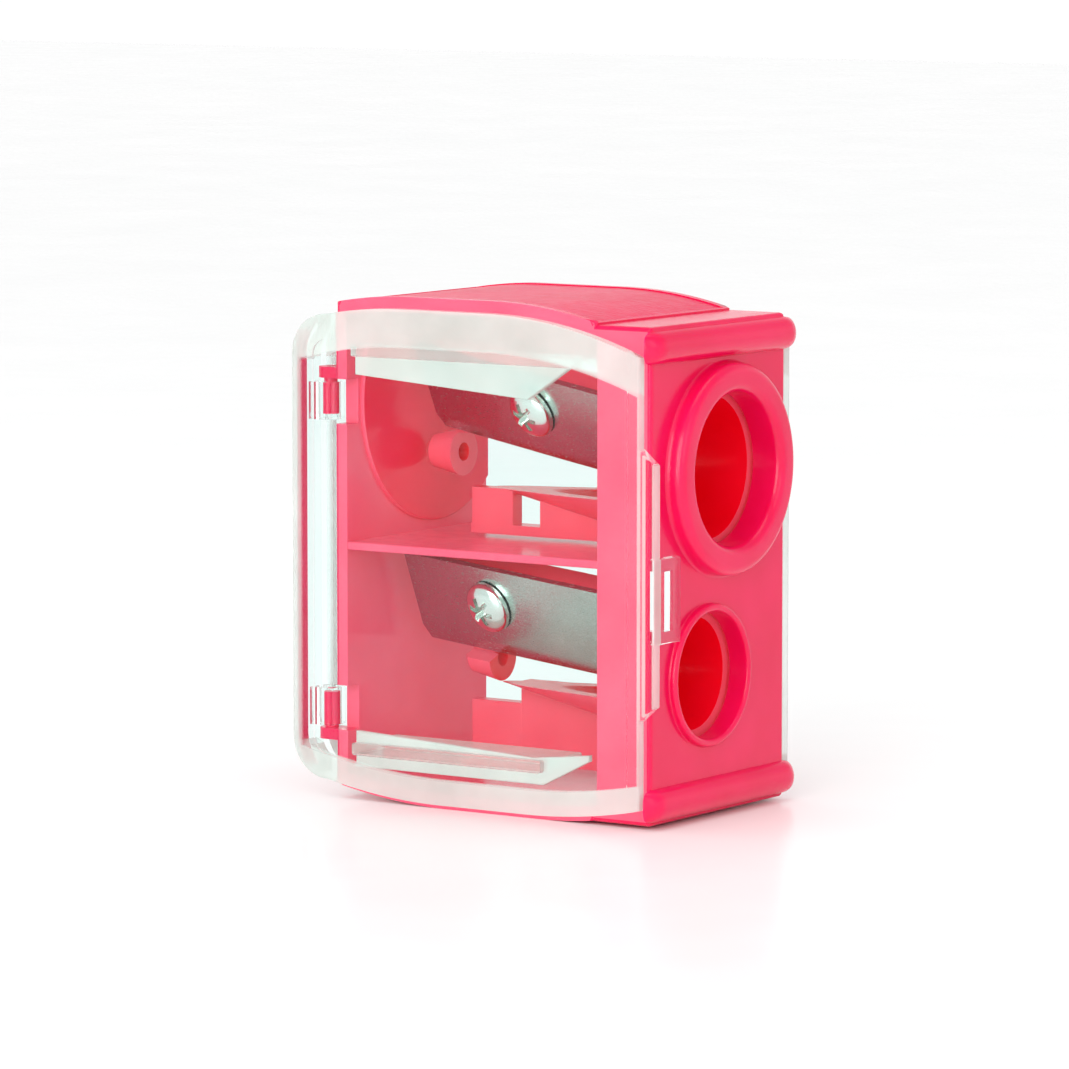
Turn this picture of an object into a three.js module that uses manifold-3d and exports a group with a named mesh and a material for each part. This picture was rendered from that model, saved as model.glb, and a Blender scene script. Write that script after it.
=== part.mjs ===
// Two-hole pencil sharpener in a shavings case, in millimetres.
// +X runs along the pencils towards the mouths, -Y faces the hinged window door, +Z is up,
// and the origin is at the centre of the bottom.
import * as THREE from 'three';
import { mergeVertices } from 'three/addons/utils/BufferGeometryUtils.js';
import Module from 'manifold-3d';

const wasm = await Module();
wasm.setup();

// Case
const HEIGHT = 40.6;
const MIRROR_HEIGHT = 39.4;
const FACE_X = 16;
const BACK_X = -14;
const WALL = 1.2;
const BODY_HALF_WIDTH = 9.75;
const CASE_HALF_WIDTH = 11.05;
const BOW_RISE = 1.2;
const BOW_CENTRE_X = 1;
const BOW_HALF_CHORD = 15;
const REST_HALF_LENGTH = 4;
const CROWN = { centreX: -3, restHalfLength: 4, halfChord: 14.8, drop: 2.9 };
const EAR_START_X = 10.9;
const EAR_INSET = 0.25;
const EAR_OVERLAP = 0.5;
const SIDE_FLANGE = { thick: 0.35, backX: 11.1 };
const DIVIDER_LOW_Z = 20.15;
const DIVIDER_HIGH_Z = 20.8;
const HEADER = { thick: 0.6, inset: 0.15, height: 3.6 };
const GAP = 0.3;

// Rolled lips across the top and bottom of the mouth face
const LIP_HEIGHT = 2.75;
const LIP_REACH = 1.1;
const LIP_INSET = 0.5;
const LIP_CORNER = 2;

// Clear covers
const COVER_BACK_X = -17.4;
const COVER_FRONT_X = 15.7;
const COVER_WALL = 1;
const COVER_INSET = 0.5;
const COVER_TOP_INSET = 0.9;
const COVER_CORNER = 3.4;

// Door hinge, latch and inner ribs
const HINGE = { x: -15.2, y: -8.6, barrel: 1.1, pin: 0.55, clearance: 0.09 };
const KNUCKLE_LOW_Z = 5.9;
const KNUCKLE_HIGH_Z = 8.9;
const NOTCH_INNER_Y = -8.2;
const ARM = { height: 0.9, radius: 0.95, pinShort: 0.4 };
const DOOR_RETURN_Y = -8.3;
const REAR_COVER_RETURN_Y = -6.2;
const LATCH_LOW_Z = 8.6;
const LATCH_HIGH_Z = 29.8;
const LATCH_REACH = 1.4;
const LATCH_BEVEL = 1.2;
const TAB = { thick: 0.8, reach: 2.9, inset: 0.3, lowZ: 14.6, highZ: 21.3 };
const TAB_SLOT = { nearY: -9.6, farY: -8.3, lowZ: 15.6, highZ: 20.3 };
const CATCH = { height: 0.25, margin: 0.35 };
const RIB_BACK_X = BACK_X + WALL + 0.6;
const TRAY = { thick: 1, lowZ: 3.7, frontX: 6, innerY: -4 };
const SKIRT = { kneeX: 5.9, noseX: 10.2, noseLowZ: 4.9, noseHighZ: 5.4, dipX: 4.9, dipZ: 4.8, backZ: 5.6 };
const APRON = { outerY: -9.5, innerY: -8.9, backZ: 34.2, kneeX: 4.4, kneeZ: 33, frontX: 9.2, frontZ: 36.2 };

// Sharpening cores, one for thick and one for thin pencils
const TAPER = THREE.MathUtils.degToRad(12);
const CORE_FRONT_X = 14.5;
const CONE_START_X = 15;
const CORE_WALL = 1.1;
const TIP_WALL = 0.9;
const LARGE = {
  axisZ: 27.4, axisY: 0.8, mouth: 6.1, rim: 8.4, rimReach: 1.5, bore: 5.8, tipX: -10.8,
  floorZ: DIVIDER_HIGH_Z + GAP, ceilingZ: MIRROR_HEIGHT - WALL - BOW_RISE - GAP, bladeX: 1.35, screwX: 2,
  lean: THREE.MathUtils.degToRad(27), rise: THREE.MathUtils.degToRad(7.5), edgeAboveAxis: 0.5,
  ribs: [[-0.4, 14.2, 26.4], [-7, -3, 26.4]],
  throat: { backX: -8.8, frontX: 8.5, below: 2.6, above: 1.6 },
};
const SMALL = {
  axisZ: 11.3, axisY: -1.5, mouth: 5.05, rim: 5.65, rimReach: 0.6, bore: 4.6, tipX: -5.4,
  floorZ: WALL + BOW_RISE + GAP, ceilingZ: DIVIDER_LOW_Z - GAP, bladeX: 0.7, screwX: -2.2,
  lean: THREE.MathUtils.degToRad(22), rise: THREE.MathUtils.degToRad(3.6), edgeAboveAxis: 0.25,
  ribs: [[-2.2, 14.2, 10.3], [-7, -2.1, 7.6]],
  throat: { backX: -3.4, frontX: 8.5, below: 1.9, above: 0.8 },
};
const RIB_HALF_THICK = 0.7;
const FOOT = { backX: -7, frontX: 14.2, height: 0.8 };
const SEAT = { halfLength: 11.4, depth: 2.4, lowZ: 0.9, top: 0.3 };
const BLADE_CLEARANCE_BELOW_EDGE = 0.2;
const SCREW_CLEARANCE = 0.15;

// Blades and their screws
const BLADE = { length: 24, width: 8, thick: 0.55, bevel: 1.5, hole: 1.5 };
const SCREW = { head: 2.15, headHeight: 1.2, shank: 1, length: 1.7, height: 4.7, slot: 0.55 };
const SEAT_GAP = 0.12;

const PINK = { color: 0xf43d72, roughness: 0.22, metalness: 0 };
const CLEAR = { color: 0xe2f4ee, roughness: 0.05, metalness: 0, transparent: true, opacity: 0.3 };
const STEEL = { color: 0xb4bab6, roughness: 0.25, metalness: 1 };

const COARSE = 24;
const FINE = 40;
// Half the side of a block that reaches past the whole part.
const FAR = 80;

function toSolid(geometry) {
  geometry.deleteAttribute('normal');
  geometry.deleteAttribute('uv');
  const merged = mergeVertices(geometry, 1e-4);
  return new wasm.Manifold(new wasm.Mesh({
    numProp: 3,
    vertProperties: new Float32Array(merged.attributes.position.array),
    triVerts: new Uint32Array(merged.index.array),
  }));
}

function toGeometry(solid) {
  const mesh = solid.getMesh();
  const geometry = new THREE.BufferGeometry();
  geometry.setAttribute('position', new THREE.BufferAttribute(mesh.vertProperties, 3));
  geometry.setIndex(new THREE.BufferAttribute(mesh.triVerts, 1));
  return geometry;
}

function moved(solid, matrix) {
  return solid.transform(matrix.toArray());
}

function box(x0, x1, y0, y1, z0, z1) {
  const geometry = new THREE.BoxGeometry(x1 - x0, y1 - y0, z1 - z0);
  geometry.translate((x0 + x1) / 2, (y0 + y1) / 2, (z0 + z1) / 2);
  return toSolid(geometry);
}

// A shape drawn in X and Z, extruded from y0 to y1.
function extrudeAlongY(shape, y0, y1) {
  const options = { depth: y1 - y0, bevelEnabled: false, curveSegments: 8 };
  const geometry = new THREE.ExtrudeGeometry(shape, options);
  geometry.rotateX(Math.PI / 2);
  geometry.translate(0, y1, 0);
  return toSolid(geometry);
}

// A shape drawn in X and Y, extruded from z0 to z1.
function extrudeAlongZ(shape, z0, z1) {
  const options = { depth: z1 - z0, bevelEnabled: false, curveSegments: 8 };
  const geometry = new THREE.ExtrudeGeometry(shape, options);
  geometry.translate(0, 0, z0);
  return toSolid(geometry);
}

// A closed profile of [radius, x] points turned about a line parallel to X.
function turnedAlongX(profile, y, z, segments = FINE) {
  const points = profile.map(([radius, x]) => new THREE.Vector2(radius, x));
  const geometry = new THREE.LatheGeometry([...points, points[0]], segments);
  geometry.rotateZ(-Math.PI / 2);
  geometry.translate(0, y, z);
  return toSolid(geometry);
}

function post(x, y, radius, z0, z1) {
  const geometry = new THREE.CylinderGeometry(radius, radius, z1 - z0, COARSE);
  geometry.rotateX(Math.PI / 2);
  geometry.translate(x, y, (z0 + z1) / 2);
  return toSolid(geometry);
}

// The fittings at the top mirror those at the bottom.
function upsideDown(solid) {
  return solid.mirror([0, 0, 1]).translate([0, 0, MIRROR_HEIGHT]);
}

// Height of the outward bow of the case's top and bottom, measured from its flat middle.
function bow(x) {
  const past = Math.max(0, Math.abs(x - BOW_CENTRE_X) - REST_HALF_LENGTH);
  return BOW_RISE * (past / (BOW_HALF_CHORD - REST_HALF_LENGTH)) ** 2;
}

function bowedEdge(fromX, toX, offset) {
  const steps = 10;
  const middle = [BOW_CENTRE_X - REST_HALF_LENGTH, BOW_CENTRE_X + REST_HALF_LENGTH];
  const stations = [...middle];
  for (let i = 0; i <= steps; i += 1) {
    const x = fromX + ((toX - fromX) * i) / steps;
    if (x < middle[0] || x > middle[1]) stations.push(x);
  }
  stations.sort((a, b) => a - b);
  return stations.map((x) => new THREE.Vector2(x, bow(x) + offset));
}

// Height of the case's crowned top.
function crown(x) {
  const past = Math.max(0, Math.abs(x - CROWN.centreX) - CROWN.restHalfLength);
  return HEIGHT - CROWN.drop * (past / CROWN.halfChord) ** 2;
}

// The outline made of a bottom edge and the same edge carried to the crowned top, set down by an inset.
function crownedOutline(bottomEdge, topInset) {
  const top = bottomEdge.map((point) => (
    new THREE.Vector2(point.x, crown(point.x) - topInset - (point.y - bow(point.x)))
  )).reverse();
  return new THREE.Shape([...bottomEdge, ...top]);
}

function caseShell() {
  const outer = crownedOutline(bowedEdge(BACK_X, EAR_START_X, 0), 0);
  const ears = box(
    EAR_START_X - EAR_OVERLAP, FACE_X, -BODY_HALF_WIDTH, BODY_HALF_WIDTH,
    EAR_INSET, MIRROR_HEIGHT - EAR_INSET,
  );
  const inner = crownedOutline(bowedEdge(BACK_X + WALL, FACE_X - WALL, WALL), 0);
  const hollow = extrudeAlongY(inner, -CASE_HALF_WIDTH, CASE_HALF_WIDTH);
  const divider = box(BACK_X, FACE_X, -BODY_HALF_WIDTH, BODY_HALF_WIDTH, DIVIDER_LOW_Z, DIVIDER_HIGH_Z);
  const block = extrudeAlongY(outer, -BODY_HALF_WIDTH, BODY_HALF_WIDTH).add(ears);
  const flange = box(
    SIDE_FLANGE.backX, FACE_X, -BODY_HALF_WIDTH, SIDE_FLANGE.thick - BODY_HALF_WIDTH, WALL / 2, HEIGHT,
  ).intersect(block);
  const headerY = BODY_HALF_WIDTH - HEADER.inset;
  const header = box(
    BACK_X + WALL / 2, FACE_X - WALL / 2, headerY - HEADER.thick, headerY,
    MIRROR_HEIGHT - WALL - HEADER.height, HEIGHT,
  ).intersect(block);
  return block.subtract(hollow).add(divider).add(flange).add(header);
}

// A rounded bar across the mouth face, standing proud of it and turning its two ends.
function bottomLip() {
  const nose = new THREE.Shape();
  const middleZ = LIP_INSET + LIP_HEIGHT / 2;
  nose.moveTo(FACE_X - WALL, LIP_INSET);
  nose.lineTo(FACE_X, LIP_INSET);
  nose.absellipse(FACE_X, middleZ, LIP_REACH, LIP_HEIGHT / 2, -Math.PI / 2, Math.PI / 2, false, 0);
  nose.lineTo(FACE_X - WALL, LIP_INSET + LIP_HEIGHT);
  const plan = new THREE.Shape();
  const front = FACE_X + LIP_REACH;
  const side = CASE_HALF_WIDTH;
  plan.moveTo(FACE_X - WALL, -side);
  plan.lineTo(front - LIP_CORNER, -side);
  plan.absarc(front - LIP_CORNER, LIP_CORNER - side, LIP_CORNER, -Math.PI / 2, 0, false);
  plan.absarc(front - LIP_CORNER, side - LIP_CORNER, LIP_CORNER, 0, Math.PI / 2, false);
  plan.lineTo(FACE_X - WALL, side);
  const bar = extrudeAlongY(nose, -side, side).intersect(extrudeAlongZ(plan, 0, 2 * LIP_HEIGHT));
  const nearWing = box(0, FACE_X, -2 * side, -BODY_HALF_WIDTH, 0, 2 * LIP_HEIGHT);
  const farWing = box(0, FACE_X, BODY_HALF_WIDTH, 2 * side, 0, 2 * LIP_HEIGHT);
  return bar.subtract(nearWing).subtract(farWing);
}

function mouthRim(core) {
  const { mouth, rim, rimReach } = core;
  const middle = (mouth + rim) / 2;
  const half = (rim - mouth) / 2;
  const profile = [];
  for (let i = 0; i <= 6; i += 1) {
    const angle = (Math.PI * i) / 6;
    profile.push([middle + half * Math.cos(angle), FACE_X + rimReach * Math.sin(angle)]);
  }
  return turnedAlongX([[mouth, FACE_X - 0.5], [rim, FACE_X - 0.5], ...profile], core.axisY, core.axisZ);
}

function mouthHole(core) {
  const ends = [[0, FACE_X - 2 * WALL], [core.mouth, FACE_X - 2 * WALL], [core.mouth, FACE_X + 3]];
  return turnedAlongX([...ends, [0, FACE_X + 3]], core.axisY, core.axisZ);
}

// An arm behind the back wall with the pin that the door's knuckle turns on.
function bottomHingeArm() {
  const high = KNUCKLE_LOW_Z - GAP;
  const low = high - ARM.height;
  const web = box(HINGE.x, BACK_X + WALL / 2, HINGE.y - ARM.radius, HINGE.y + ARM.radius, low, high);
  const boss = post(HINGE.x, HINGE.y, ARM.radius, low, high);
  const pin = post(HINGE.x, HINGE.y, HINGE.pin, (low + high) / 2, KNUCKLE_HIGH_Z - ARM.pinShort);
  return web.add(boss).add(pin);
}

// The slot in the back wall that lets a knuckle through to the door.
function bottomHingeNotch() {
  return box(
    BACK_X - WALL, BACK_X + 2 * WALL, -CASE_HALF_WIDTH, NOTCH_INNER_Y,
    KNUCKLE_LOW_Z - GAP, KNUCKLE_HIGH_Z + GAP,
  );
}

function latchTooth() {
  const { height, margin } = CATCH;
  return box(
    FACE_X - WALL / 2, FACE_X + height, TAB_SLOT.nearY + margin, TAB_SLOT.farY - margin,
    TAB_SLOT.lowZ + margin, TAB_SLOT.highZ - margin,
  );
}

function bodyFrame() {
  const lip = bottomLip();
  const arm = bottomHingeArm();
  const notch = bottomHingeNotch();
  return caseShell()
    .add(lip).add(upsideDown(lip))
    .add(mouthRim(LARGE)).add(mouthRim(SMALL))
    .subtract(mouthHole(LARGE)).subtract(mouthHole(SMALL))
    .subtract(notch).subtract(upsideDown(notch))
    .add(arm).add(upsideDown(arm))
    .add(latchTooth());
}

function coverOutline(inset) {
  const back = COVER_BACK_X + inset;
  const radius = COVER_CORNER - inset;
  const edge = bowedEdge(back + radius, COVER_FRONT_X - inset, COVER_INSET + inset);
  const corner = [];
  const centre = { x: back + radius, z: edge[0].y + radius };
  for (let i = 0; i < 6; i += 1) {
    const angle = Math.PI + (Math.PI / 2) * (i / 6);
    corner.push(new THREE.Vector2(centre.x + radius * Math.cos(angle), centre.z + radius * Math.sin(angle)));
  }
  return crownedOutline([...corner, ...edge], COVER_TOP_INSET - COVER_INSET);
}

// The clear rim that wraps the case's back, between two places along Y and behind a limit.
function backRim(y0, y1, limitX) {
  const outer = extrudeAlongY(coverOutline(0), y0, y1);
  const inner = extrudeAlongY(coverOutline(COVER_WALL), y0 - 1, y1 + 1);
  return outer.subtract(inner).intersect(box(-FAR, limitX, -FAR, FAR, -FAR, FAR));
}

function doorKnuckle() {
  const barrel = post(HINGE.x, HINGE.y, HINGE.barrel, KNUCKLE_LOW_Z, KNUCKLE_HIGH_Z);
  const web = box(
    HINGE.x - HINGE.barrel, HINGE.x + HINGE.barrel, -CASE_HALF_WIDTH + 0.5, HINGE.y,
    KNUCKLE_LOW_Z, KNUCKLE_HIGH_Z,
  );
  const bore = post(HINGE.x, HINGE.y, HINGE.pin + HINGE.clearance, 0, KNUCKLE_HIGH_Z + 1);
  return web.add(barrel).subtract(bore);
}

function doorLatch() {
  const inner = BODY_HALF_WIDTH + GAP;
  const outer = CASE_HALF_WIDTH;
  const reach = COVER_FRONT_X + LATCH_REACH;
  const strip = new THREE.Shape();
  strip.moveTo(COVER_FRONT_X - 0.5, LATCH_LOW_Z);
  strip.lineTo(COVER_FRONT_X, LATCH_LOW_Z);
  strip.lineTo(reach, LATCH_LOW_Z + LATCH_BEVEL);
  strip.lineTo(reach, LATCH_HIGH_Z - LATCH_BEVEL);
  strip.lineTo(COVER_FRONT_X, LATCH_HIGH_Z);
  strip.lineTo(COVER_FRONT_X - 0.5, LATCH_HIGH_Z);
  const tab = box(reach - TAB.thick, reach, TAB.inset - outer, TAB.reach - inner, TAB.lowZ, TAB.highZ);
  const slot = box(FACE_X, reach + 1, TAB_SLOT.nearY, TAB_SLOT.farY, TAB_SLOT.lowZ, TAB_SLOT.highZ);
  return extrudeAlongY(strip, -outer, -inner).add(tab).subtract(slot);
}

// A shelf and a skirt along the door's bottom carry shavings out, and an apron at the top guards the blade.
function doorRibs() {
  const innerY = -(BODY_HALF_WIDTH + GAP);
  const skirtLow = WALL + BOW_RISE + GAP;
  const apronTop = MIRROR_HEIGHT - skirtLow;
  const tray = box(RIB_BACK_X, TRAY.frontX, innerY - GAP, TRAY.innerY, TRAY.lowZ, TRAY.lowZ + TRAY.thick);
  const ledge = box(RIB_BACK_X, APRON.frontX, innerY - GAP, APRON.innerY, apronTop - TRAY.thick, apronTop);
  const apron = new THREE.Shape();
  apron.moveTo(RIB_BACK_X, apronTop);
  apron.lineTo(RIB_BACK_X, APRON.backZ);
  apron.lineTo(APRON.kneeX, APRON.kneeZ);
  apron.lineTo(APRON.frontX, APRON.frontZ);
  apron.lineTo(APRON.frontX, apronTop);
  const skirt = new THREE.Shape();
  skirt.moveTo(RIB_BACK_X, skirtLow);
  skirt.lineTo(SKIRT.kneeX, skirtLow);
  skirt.lineTo(SKIRT.noseX, SKIRT.noseLowZ);
  skirt.lineTo(SKIRT.noseX, SKIRT.noseHighZ);
  skirt.lineTo(SKIRT.dipX, SKIRT.dipZ);
  skirt.lineTo(RIB_BACK_X, SKIRT.backZ);
  return tray.add(ledge)
    .add(extrudeAlongY(apron, APRON.outerY, APRON.innerY))
    .add(extrudeAlongY(skirt, APRON.outerY, APRON.innerY));
}

function windowDoor() {
  const innerY = -(BODY_HALF_WIDTH + GAP);
  const knuckle = doorKnuckle();
  return extrudeAlongY(coverOutline(0), -CASE_HALF_WIDTH, innerY)
    .add(backRim(-CASE_HALF_WIDTH, DOOR_RETURN_Y, HINGE.x - 0.2))
    .add(knuckle).add(upsideDown(knuckle))
    .add(doorRibs())
    .add(doorLatch());
}

function rearCover() {
  const innerY = BODY_HALF_WIDTH + GAP;
  return extrudeAlongY(coverOutline(0), innerY, CASE_HALF_WIDTH)
    .add(backRim(REAR_COVER_RETURN_Y, CASE_HALF_WIDTH, BACK_X - GAP));
}

function coneRadius(core, x) {
  return core.bore - Math.max(0, CONE_START_X - x) * Math.tan(TAPER);
}

// Places what is drawn flat, edge along X at z = 0 and seat face at y = 0, on the core's cutting line.
function bladePlacement(core) {
  const place = new THREE.Matrix4().makeRotationX(core.lean);
  place.premultiply(new THREE.Matrix4().makeRotationY(core.rise));
  place.premultiply(new THREE.Matrix4().makeRotationZ(-TAPER));
  const edgeY = core.axisY - coneRadius(core, core.bladeX);
  place.premultiply(new THREE.Matrix4().makeTranslation(core.bladeX, edgeY, core.axisZ + core.edgeAboveAxis));
  return place;
}

function sharpenerCore(core) {
  const { axisY, axisZ, tipX, floorZ, ceilingZ } = core;
  const place = bladePlacement(core);
  const outerTip = coneRadius(core, tipX) + CORE_WALL;
  const outerFront = coneRadius(core, CORE_FRONT_X) + CORE_WALL;
  const skin = turnedAlongX([
    [0, tipX - TIP_WALL], [outerTip, tipX - TIP_WALL], [outerFront, CORE_FRONT_X], [0, CORE_FRONT_X],
  ], axisY, axisZ);
  const bore = turnedAlongX([
    [0, tipX], [coneRadius(core, tipX), tipX], [core.bore, CONE_START_X], [0, CONE_START_X],
  ], axisY, axisZ);
  const { halfLength, depth, lowZ, top } = SEAT;
  const seat = moved(box(-halfLength, halfLength, SEAT_GAP, depth, lowZ, BLADE.width - top), place);
  const bladeSide = moved(box(-FAR, FAR, -FAR, SEAT_GAP, -BLADE_CLEARANCE_BELOW_EDGE, FAR), place);
  const screwHole = new THREE.CylinderGeometry(
    SCREW.shank + SCREW_CLEARANCE, SCREW.shank + SCREW_CLEARANCE, 4 * depth, COARSE,
  );
  screwHole.translate(core.screwX - core.bladeX, 0, SCREW.height);
  const { backX, frontX, below, above } = core.throat;
  const throat = box(backX, frontX, -FAR, FAR, axisZ - below, axisZ + above);
  const ribs = core.ribs.map(([x0, x1, topZ]) => box(x0, x1, -RIB_HALF_THICK, RIB_HALF_THICK, floorZ, topZ));
  const foot = box(FOOT.backX, FOOT.frontX, -RIB_HALF_THICK, RIB_HALF_THICK, floorZ, floorZ + FOOT.height);
  const room = box(BACK_X + WALL + GAP, CORE_FRONT_X, -FAR, FAR, floorZ, ceilingZ);
  return ribs.reduce((sum, rib) => sum.add(rib), skin.add(seat).add(foot))
    .subtract(bore)
    .subtract(bladeSide)
    .subtract(throat)
    .subtract(moved(toSolid(screwHole), place))
    .intersect(room);
}

function blade(core) {
  const { length, width, thick, bevel, hole } = BLADE;
  const section = new THREE.Shape();
  section.moveTo(0, 0);
  section.lineTo(0, width);
  section.lineTo(-thick, width);
  section.lineTo(-thick, bevel);
  const geometry = new THREE.ExtrudeGeometry(section, { depth: length, bevelEnabled: false });
  geometry.applyMatrix4(new THREE.Matrix4().makeBasis(
    new THREE.Vector3(0, 1, 0), new THREE.Vector3(0, 0, 1), new THREE.Vector3(1, 0, 0),
  ));
  geometry.translate(-length / 2, 0, 0);
  const opening = new THREE.CylinderGeometry(hole, hole, 4 * thick, COARSE);
  opening.translate(core.screwX - core.bladeX, 0, SCREW.height);
  return moved(toSolid(geometry).subtract(toSolid(opening)), bladePlacement(core));
}

function bladeScrew(core) {
  const { head, headHeight, shank, length, slot } = SCREW;
  const under = -BLADE.thick - SEAT_GAP;
  const profile = [
    [0, under - headHeight], [head * 0.7, under - headHeight], [head, under - headHeight * 0.6],
    [head, under], [shank, under], [shank, under + length + BLADE.thick], [0, under + length + BLADE.thick],
  ];
  const points = profile.map(([radius, y]) => new THREE.Vector2(radius, y));
  const geometry = new THREE.LatheGeometry(points, COARSE);
  const outerY = under - headHeight;
  const slotCut = box(-head, head, outerY - 1, outerY + 0.5, -slot / 2, slot / 2);
  const crossCut = box(-slot / 2, slot / 2, outerY - 1, outerY + 0.5, -head * 0.6, head * 0.6);
  const screw = toSolid(geometry).subtract(slotCut).subtract(crossCut);
  return moved(screw.translate([core.screwX - core.bladeX, 0, SCREW.height]), bladePlacement(core));
}

const sharpener = new THREE.Group();

function addPiece(name, solid, look) {
  const mesh = new THREE.Mesh(toGeometry(solid), new THREE.MeshStandardMaterial(look));
  mesh.name = name;
  sharpener.add(mesh);
}

addPiece('body_frame', bodyFrame(), PINK);
addPiece('large_sharpener_core', sharpenerCore(LARGE), PINK);
addPiece('small_sharpener_core', sharpenerCore(SMALL), PINK);
addPiece('large_blade', blade(LARGE), STEEL);
addPiece('small_blade', blade(SMALL), STEEL);
addPiece('large_blade_screw', bladeScrew(LARGE), STEEL);
addPiece('small_blade_screw', bladeScrew(SMALL), STEEL);
addPiece('window_door', windowDoor(), CLEAR);
addPiece('rear_cover', rearCover(), CLEAR);

export default sharpener;
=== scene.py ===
import math

import bmesh
import bpy
import numpy as np
from mathutils import Matrix, Vector


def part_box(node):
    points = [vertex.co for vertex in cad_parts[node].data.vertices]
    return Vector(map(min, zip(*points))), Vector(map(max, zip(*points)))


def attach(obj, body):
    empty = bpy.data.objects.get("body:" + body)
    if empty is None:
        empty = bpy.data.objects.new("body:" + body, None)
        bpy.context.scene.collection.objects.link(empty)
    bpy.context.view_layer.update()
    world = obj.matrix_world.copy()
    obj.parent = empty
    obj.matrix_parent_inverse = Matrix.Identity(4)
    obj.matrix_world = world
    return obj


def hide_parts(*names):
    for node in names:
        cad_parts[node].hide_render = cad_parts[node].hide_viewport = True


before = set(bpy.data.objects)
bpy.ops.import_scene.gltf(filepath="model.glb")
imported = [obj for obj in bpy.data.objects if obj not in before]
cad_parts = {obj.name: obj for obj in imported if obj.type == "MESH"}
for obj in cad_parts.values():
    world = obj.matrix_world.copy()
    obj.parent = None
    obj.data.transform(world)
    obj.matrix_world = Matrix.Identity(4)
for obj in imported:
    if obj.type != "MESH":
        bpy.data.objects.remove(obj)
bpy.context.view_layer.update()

MM = 0.001

# Sizes in millimetres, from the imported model's boxes and the sharpener's own proportions.
body_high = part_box("body_frame")[1] / MM
door_low, door_high = [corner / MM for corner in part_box("window_door")]
HEIGHT = body_high.z
MIRROR_HEIGHT = 39.4
CROWN = {"centre": -3.0, "rest": 4.0, "chord": 14.8, "drop": 2.9}
WALL = 1.2
MID_WALL = WALL / 2
HEADER = {"thick": 0.6, "inset": 0.15, "height": 3.6}
PAD = {"y": 2.4, "z": 31.8, "radius": 10.3, "thick": 0.3, "top": 37.3}
GAP = 0.3
LARGE_REACH = 1.5
LATCH_REACH = 1.4
FACE_X = body_high.x - LARGE_REACH
CASE_HALF_WIDTH = -door_low.y
BODY_HALF_WIDTH = CASE_HALF_WIDTH - 1.3
BACK_X = -14.0
PAD_X = BACK_X + WALL + PAD["thick"]
BOW_RISE = 1.2
BOW_CENTRE_X = 1.0
BOW_HALF_CHORD = 15.0
REST_HALF_LENGTH = 4.0
EAR_START_X = 10.9
EAR_INSET = 0.25
EAR_OVERLAP = 0.5
FLANGE_BACK_X = 11.1
FLANGE_THICK = 0.35
DIVIDER_LOW_Z = 20.15
DIVIDER_HIGH_Z = 20.8
BODY_ROUND = 0.35
FIELD = {
    "back": -13.3, "front": 10.65, "half": BODY_HALF_WIDTH - 0.75, "depth": 0.1, "low": 1.1, "high": 39.2,
}

# Rolled lips across the top and the bottom of the mouth face.
LIP_HEIGHT = 2.75
LIP_REACH = 1.1
LIP_INSET = 0.5
LIP_CORNER = 2.0
LIP_TAPER = 0.1
LIP_FULLNESS = 0.55

# Clear covers, with a frosted border around each window and painted highlight strips along their front and
# back edges.
COVER_BACK_X = door_low.x
COVER_FRONT_X = door_high.x - LATCH_REACH
COVER_WALL = 1.0
COVER_INSET = 0.5
COVER_TOP_INSET = 0.9
COVER_CORNER = 3.4
COVER_ROUND = 0.28
PANE_FRAME = {"edge": 2.0, "sides": 1.1, "depth": 0.22}

# Hinge, and the latch at the door's front edge.
HINGE = {"x": -15.2, "y": -8.6, "barrel": 1.1, "pin": 0.55, "clearance": 0.09}
KNUCKLE_LOW_Z = 5.9
KNUCKLE_HIGH_Z = 8.9
NOTCH_INNER_Y = -8.2
ARM = {"height": 0.9, "radius": 0.95, "pin_short": 0.4}
DOOR_RETURN_Y = -8.3
REAR_COVER_RETURN_Y = -6.2
LATCH_LOW_Z = 8.6
LATCH_HIGH_Z = 29.8
LATCH_BEVEL = 1.2
LATCH_X = COVER_FRONT_X + LATCH_REACH
TAB = {"thick": 0.8, "reach": 2.9, "inset": 0.3, "low": 14.6, "high": 21.3}
TAB_SLOT = {"near": -9.6, "far": -8.3, "low": 15.6, "high": 20.3}
CATCH = {"height": 0.25, "margin": 0.35}

# Ribs on the door's inner face: a tray and its skirt below, a ledge and its apron above.
DOOR_INNER_Y = -(BODY_HALF_WIDTH + GAP)
RIB_BACK_X = BACK_X + WALL + 0.6
TRAY = {"thick": 1.0, "low": 3.7, "front": 6.0, "inner": -4.0}
SKIRT_LOW_Z = 2.7
SKIRT_BACK_Z = 5.6
SKIRT = [(5.9, SKIRT_LOW_Z), (10.2, 4.9), (10.2, 5.4), (4.9, 4.8)]
LEDGE_TOP_Z = MIRROR_HEIGHT - SKIRT_LOW_Z
APRON = {
    "outer": -9.5, "inner": -8.9, "back_z": 34.2, "knee": (4.4, 33.0), "front": (9.2, 36.2),
}

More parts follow.
